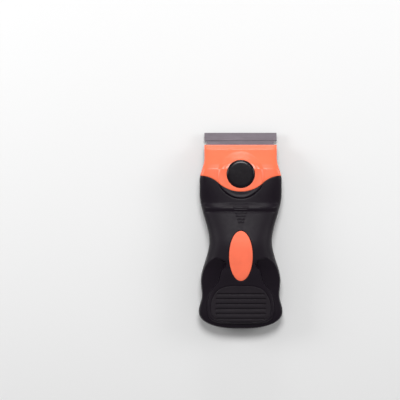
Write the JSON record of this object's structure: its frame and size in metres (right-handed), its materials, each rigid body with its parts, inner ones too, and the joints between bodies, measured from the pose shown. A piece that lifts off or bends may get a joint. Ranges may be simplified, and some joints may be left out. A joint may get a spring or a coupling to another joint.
{
  "type": "razor blade scraper",
  "caption": "Hand scraper with a waisted two-colour handle that clamps a single-edge razor blade in its nose, freed by a round push button.",
  "frame": {"origin": "centre of the footprint, on the flat back that the scraper lies on", "axes": "+Y along the body from the tail to the blade, +Z out of the front with the button, +X to the right when the front is seen with the blade up"},
  "size_m": [0.0452, 0.1058, 0.0193],
  "materials": {
    "orange_plastic": "fine moulded grain, half matt",
    "black_plastic": "fine moulded grain, half matt",
    "button_plastic": "smooth gloss",
    "grip_rubber": "matt soft-touch",
    "orange_inlay": "flat matt",
    "blade_steel": "rolled strip, ground edge",
    "clamp_steel": "stamped, zinc plated",
    "jaw_rubber": "matt",
    "screw_steel": "zinc plated"
  },
  "bodies": {
    "housing": {"head_cover": "orange_plastic", "front_shell": "black_plastic", "back_shell": "black_plastic", "oval_inlay": "orange_inlay", "tail_pad": "grip_rubber", "rocker_pin": "clamp_steel", "button_spring": "clamp_steel", "head_screws": "screw_steel", "handle_screws": "screw_steel"},
    "button": {"push_button": "button_plastic"},
    "rocker": {"clamp_rocker": "clamp_steel", "jaw_pad": "jaw_rubber"},
    "blade": {"blade_leaf": "blade_steel", "blade_spine": "blade_steel"}
  },
  "joints": [
    {"name": "button_press", "type": "slide", "parent": "housing", "child": "button", "axis": [0, 0, -1], "range_m": [0, 0.0015], "stiffness_N_per_m": 400, "springref_m": -0.001, "deforming": ["button_spring"]},
    {"name": "rocker_tilt", "type": "hinge", "parent": "housing", "child": "rocker", "pos_m": [0, 0.0371, 0.0071], "axis": [1, 0, 0], "range_deg": [0, 13.5]},
    {"name": "blade_removal", "type": "slide", "parent": "housing", "child": "blade", "axis": [0, 0.9781, -0.2079], "range_m": [0, 0.0135]}
  ],
  "couplings": [
    {"joint": "rocker_tilt", "follows": "button_press", "rad_per_m": 155}
  ]
}
